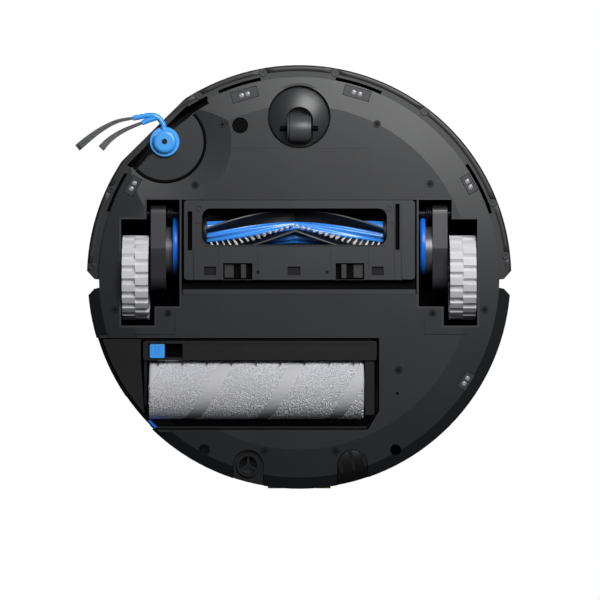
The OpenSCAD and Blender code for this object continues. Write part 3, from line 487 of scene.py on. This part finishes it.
def lens_block(verts, faces, at, turn, half, z0, z1):
    """Rounded square lens, domed towards the floor."""
    first, n = len(verts), 7
    c, s = math.cos(turn), math.sin(turn)
    for i in range(n):
        for j in range(n):
            u, v = 2 * i / (n - 1) - 1, 2 * j / (n - 1) - 1
            shrink = 1 - 0.12 * (abs(u) * abs(v)) ** 2
            x, y = half * u * shrink, half * v * shrink
            dome = (1 - u ** 4) * (1 - v ** 4)
            z = z1 + (z0 - z1) * (0.25 + 0.75 * dome)
            verts.append((at[0] + x * c - y * s, at[1] + x * s + y * c, z))
    for i in range(n - 1):
        for j in range(n - 1):
            p = first + i * n + j
            faces.append((p, p + 1, p + n + 1, p + n))
    faces.append(tuple([first + k for k in range(n)] + [first + k * n + n - 1 for k in range(1, n)]
                       + [first + (n - 1) * n + k for k in range(n - 2, -1, -1)]
                       + [first + k * n for k in range(n - 2, 0, -1)]))


CLIFF = [(-45, -150.8, -16), (47.7, -152, 16), (-137.2, -75.5, -61), (140.1, -76.9, 61), (137.6, 85.4, -58)]


def cliff_lenses():
    verts, faces = [], []
    for x, y, deg in CLIFF:
        turn = math.radians(deg)
        for along_x in (-LENS_OFFSET, LENS_OFFSET):
            at = (x + along_x * math.cos(turn), y + along_x * math.sin(turn))
            lens_block(verts, faces, at, turn, 1.8, 12.55, 13.0)
    return piece("cliff_sensor_lenses", verts, faces, "lens", "chassis")


def latch_pad(name, body, x, node):
    """Grey pad on the outer half of a latch, seen through the guard's window."""
    lo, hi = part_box(node)
    y0, y1 = lo[1] / MM + 2.4, hi[1] / MM - 0.6
    z0, z1 = 10.95, 11.28
    verts = [(a, b, c) for c in (z0, z1) for b in (y0, y1) for a in x]
    faces = [(0, 2, 3, 1), (4, 5, 7, 6), (0, 1, 5, 4), (1, 3, 7, 5), (3, 2, 6, 7), (2, 0, 4, 6)]
    return piece(name, verts, faces, "latch", body, smooth=False)


side_bristles()
ridged_core()
rubber_blades()
white_tufts()
roller_backing()
roller_pile()
# black ring of painted shade in the side brush's groove
groove_shade_ring()
cliff_lenses()
latch_pad("latch_pad_right", "latch_right", (-61.4, -54.0), "guard_latch_right")
latch_pad("latch_pad_left", "latch_left", (45.0, 52.4), "guard_latch_left")


# ---- looks of single faces ----

SCREWS = [(-63.2, -126.3), (64.2, -126.4), (-85.9, -76.1), (108, -77), (-151.5, 26.8), (-108.2, 29.8),
          (110, 29.8), (153, 26.8), (82.1, 76.5), (-28.9, 143.7), (30.2, 143.7)]


def near_screw(x, y):
    return min(math.hypot(x - a, y - b) for a, b in SCREWS) < RECESS_REACH


def darken(node, keep):
    """Gives the faces of a CAD node for which keep(centre) is false the near-black material."""
    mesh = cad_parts[node].data
    mesh.materials.append(M["inner"])
    for face in mesh.polygons:
        x, y, z = (c / MM for c in face.center)
        face.material_index = 0 if keep(x, y, z) else 1


# painted shade: the latches' faces deeper than 11.2 mm, behind the guard's window, turn near-black
for node in ("guard_latch_right", "guard_latch_left"):
    darken(node, lambda x, y, z: z < 11.2)
darken("floor_sensors", lambda x, y, z: math.hypot(x - CARPET_SENSOR[0], y - CARPET_SENSOR[1]) > CARPET_REACH)
# painted shade: the screws' faces deeper than 11.9 mm, down in their recesses, turn near-black
darken("chassis_screws", lambda x, y, z: z < 11.9)


def relook(node, look, chosen):
    """Gives the faces of a CAD node for which chosen(centre) is true another look."""
    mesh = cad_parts[node].data
    mesh.materials.append(M[look])
    index = len(mesh.materials) - 1
    for face in mesh.polygons:
        if chosen(*(c / MM for c in face.center)):
            face.material_index = index


# the wheel frames and the brush housing stay near-black as painted shade deeper in; only their faces near the
# floor get the arm's and the guard's grey
for node in ("wheel_frame_right", "wheel_frame_left"):
    relook(node, "arm", lambda x, y, z: z < 11.6)
relook("brush_housing", "guard", lambda x, y, z: z < 11.4)
# painted shade: pockets, end slots and windows of the guard are dark inside
relook("brush_guard", "pocket", lambda x, y, z: 7.5 < z < 10.8 and -10 < y < 3 and abs(x) < 80)
relook("brush_guard", "pocket", lambda x, y, z: 7.7 < z < 7.95 and (x > 78.3 and x < 79 or x < -86.7))
# painted shade: the chassis faces in the screws' recesses are black
relook("lower_chassis", "inner", lambda x, y, z: 11.9 < z < 12.1 and near_screw(x, y))

for node in ("bumper_shell", "bumper_inner_ring", "top_cover", "lidar_cap", "mop_release_button",
             "tyre_right", "tyre_left", "caster_swivel", "caster_wheel", "swing_arm_right",
             "swing_arm_left", "motor_cover_right", "motor_cover_left", "side_brush_hub", "drain_port",
             "rear_plug", "wheel_hub_right", "wheel_hub_left", "brush_end_caps"):
    finish_cad(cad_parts[node], BEVELS.get(node, BEVEL))


# ---- camera, floor and lights ----

world = bpy.data.worlds.new("studio")
scene.world = world
world.use_nodes = True
wn, wl = world.node_tree.nodes, world.node_tree.links
wn["Background"].inputs["Color"].default_value = (0.9, 0.95, 1, 1)
wn["Background"].inputs["Strength"].default_value = 0.05
seen = wn.new("ShaderNodeBackground")
seen.inputs["Color"].default_value = (1, 1, 1, 1)
path = wn.new("ShaderNodeLightPath")
mix = wn.new("ShaderNodeMixShader")
wl.new(path.outputs["Is Camera Ray"], mix.inputs["Fac"])
wl.new(wn["Background"].outputs["Background"], mix.inputs[1])
wl.new(seen.outputs["Background"], mix.inputs[2])
wl.new(mix.outputs["Shader"], wn["World Output"].inputs["Surface"])


def area(name, at, look_at, size, power):
    data = bpy.data.lights.new(name, "AREA")
    data.size, data.energy = size, power
    o = bpy.data.objects.new(name, data)
    o.location = at
    o.rotation_euler = (Vector(look_at) - Vector(at)).to_track_quat("-Z", "Y").to_euler()
    scene.collection.objects.link(o)


area("front_below", (0.24, -0.52, -0.82), (0.03, -0.06, 0), 0.55, 10.5)
area("low_fill", (0.1, -0.5, -2.6), (0, 0, 0), 1.0, 2)
area("top_key", (-0.8, -1.0, 1.4), (0, 0, 0.05), 0.9, 30)
area("top_fill", (1.1, 0.5, 1.0), (0, 0, 0.05), 0.9, 14)

floor_mat, fn, fl = new_material("studio_floor")
fn["Principled BSDF"].inputs["Base Color"].default_value = (0.82, 0.83, 0.84, 1)
fn["Principled BSDF"].inputs["Roughness"].default_value = 0.7
geo = fn.new("ShaderNodeNewGeometry")
clear = fn.new("ShaderNodeBsdfTransparent")
one_way = fn.new("ShaderNodeMixShader")
fl.new(geo.outputs["Backfacing"], one_way.inputs["Fac"])
fl.new(fn["Principled BSDF"].outputs["BSDF"], one_way.inputs[1])
fl.new(clear.outputs["BSDF"], one_way.inputs[2])
fl.new(one_way.outputs["Shader"], fn["Material Output"].inputs["Surface"])
floor_mesh = bpy.data.meshes.new("floor")
floor_mesh.from_pydata([(-3, -3, 0), (3, -3, 0), (3, 3, 0), (-3, 3, 0)], [], [(0, 1, 2, 3)])
floor = bpy.data.objects.new("floor", floor_mesh)
floor_mesh.materials.append(floor_mat)
scene.collection.objects.link(floor)
floor.visible_shadow = False
floor.visible_diffuse = False
floor.visible_glossy = False
floor.visible_transmission = False

cam_data = bpy.data.cameras.new("camera")
cam = bpy.data.objects.new("camera", cam_data)
scene.collection.objects.link(cam)
scene.camera = cam
cam_data.sensor_width = 36
cam_data.lens = 291
cam_data.clip_start, cam_data.clip_end = 0.1, 50
cam.location = (0.0007, 0.0187, 0.011 - 4.0)
cam.rotation_euler = (math.pi, 0, 0)

scene.view_settings.view_transform = "Standard"
